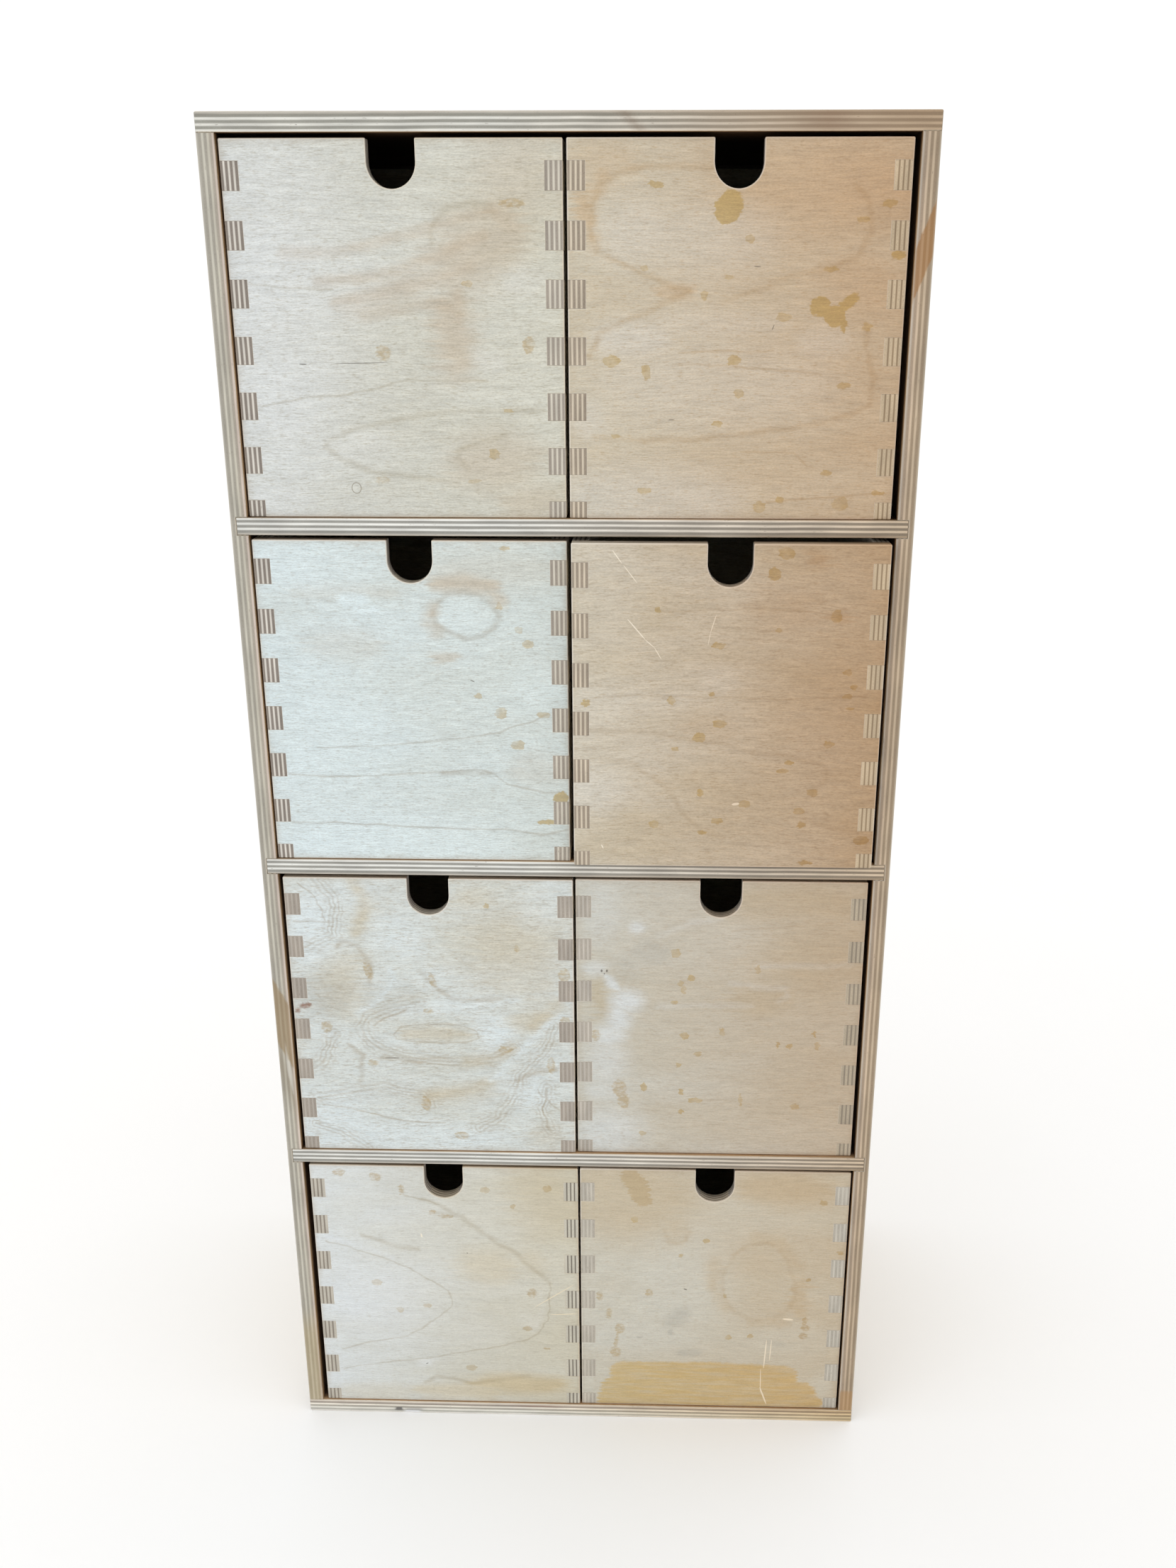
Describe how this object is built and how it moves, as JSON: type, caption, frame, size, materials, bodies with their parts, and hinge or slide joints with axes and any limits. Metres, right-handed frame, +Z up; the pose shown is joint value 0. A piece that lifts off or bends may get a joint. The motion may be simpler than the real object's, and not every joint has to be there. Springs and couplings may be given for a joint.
{
  "type": "drawer organizer",
  "caption": "Tall free-standing plywood case with shelves and finger-jointed pull-out drawers side by side, for sorting craft supplies and small parts.",
  "frame": {"origin": "centre of the case's base, on the surface it stands on", "axes": "+Z up, -Y towards the front with the drawers, +X to the right as seen from the front"},
  "size_m": [0.36, 0.2558, 0.773],
  "materials": {
    "case_plywood": "bare sanded birch plywood, dirty on its edges",
    "drawer_plywood": "bare sanded birch plywood with stains",
    "drawer_bottom_plywood": "bare thin birch plywood",
    "back_plywood": "bare thin birch plywood",
    "beech_dowel": "bare beech",
    "steel_staple": "dull galvanised steel wire"
  },
  "bodies": {
    "case": {"case_top": "case_plywood", "case_bottom": "case_plywood", "case_left_side": "case_plywood", "case_right_side": "case_plywood", "upper_shelf": "case_plywood", "middle_shelf": "case_plywood", "lower_shelf": "case_plywood", "back_panel": "back_plywood", "case_dowels": "beech_dowel", "back_staples": "steel_staple"},
    "drawer_1a": {"drawer_1a_front": "drawer_plywood", "drawer_1a_back": "drawer_plywood", "drawer_1a_left_side": "drawer_plywood", "drawer_1a_right_side": "drawer_plywood", "drawer_1a_bottom": "drawer_bottom_plywood"},
    "drawer_1b": {"drawer_1b_front": "drawer_plywood", "drawer_1b_back": "drawer_plywood", "drawer_1b_left_side": "drawer_plywood", "drawer_1b_right_side": "drawer_plywood", "drawer_1b_bottom": "drawer_bottom_plywood"},
    "drawer_2a": {"drawer_2a_front": "drawer_plywood", "drawer_2a_back": "drawer_plywood", "drawer_2a_left_side": "drawer_plywood", "drawer_2a_right_side": "drawer_plywood", "drawer_2a_bottom": "drawer_bottom_plywood"},
    "drawer_2b": {"drawer_2b_front": "drawer_plywood", "drawer_2b_back": "drawer_plywood", "drawer_2b_left_side": "drawer_plywood", "drawer_2b_right_side": "drawer_plywood", "drawer_2b_bottom": "drawer_bottom_plywood"},
    "drawer_3a": {"drawer_3a_front": "drawer_plywood", "drawer_3a_back": "drawer_plywood", "drawer_3a_left_side": "drawer_plywood", "drawer_3a_right_side": "drawer_plywood", "drawer_3a_bottom": "drawer_bottom_plywood"},
    "drawer_3b": {"drawer_3b_front": "drawer_plywood", "drawer_3b_back": "drawer_plywood", "drawer_3b_left_side": "drawer_plywood", "drawer_3b_right_side": "drawer_plywood", "drawer_3b_bottom": "drawer_bottom_plywood"},
    "drawer_4a": {"drawer_4a_front": "drawer_plywood", "drawer_4a_back": "drawer_plywood", "drawer_4a_left_side": "drawer_plywood", "drawer_4a_right_side": "drawer_plywood", "drawer_4a_bottom": "drawer_bottom_plywood"},
    "drawer_4b": {"drawer_4b_front": "drawer_plywood", "drawer_4b_back": "drawer_plywood", "drawer_4b_left_side": "drawer_plywood", "drawer_4b_right_side": "drawer_plywood", "drawer_4b_bottom": "drawer_bottom_plywood"}
  },
  "joints": [
    {"name": "drawer_1a_slide", "type": "slide", "parent": "case", "child": "drawer_1a", "axis": [0, -1, 0], "range_m": [-0.003, 0.222]},
    {"name": "drawer_1b_slide", "type": "slide", "parent": "case", "child": "drawer_1b", "axis": [0, -1, 0], "range_m": [-0.003, 0.222]},
    {"name": "drawer_2a_slide", "type": "slide", "parent": "case", "child": "drawer_2a", "axis": [0, -1, 0], "range_m": [-0.00375, 0.22125]},
    {"name": "drawer_2b_slide", "type": "slide", "parent": "case", "child": "drawer_2b", "axis": [0, -1, 0], "range_m": [-0.0105, 0.2145]},
    {"name": "drawer_3a_slide", "type": "slide", "parent": "case", "child": "drawer_3a", "axis": [0, -1, 0], "range_m": [-0.00375, 0.22125]},
    {"name": "drawer_3b_slide", "type": "slide", "parent": "case", "child": "drawer_3b", "axis": [0, -1, 0], "range_m": [-0.0025, 0.2225]},
    {"name": "drawer_4a_slide", "type": "slide", "parent": "case", "child": "drawer_4a", "axis": [0, -1, 0], "range_m": [-0.00375, 0.22125]},
    {"name": "drawer_4b_slide", "type": "slide", "parent": "case", "child": "drawer_4b", "axis": [0, -1, 0], "range_m": [-0.00325, 0.22175]}
  ]
}
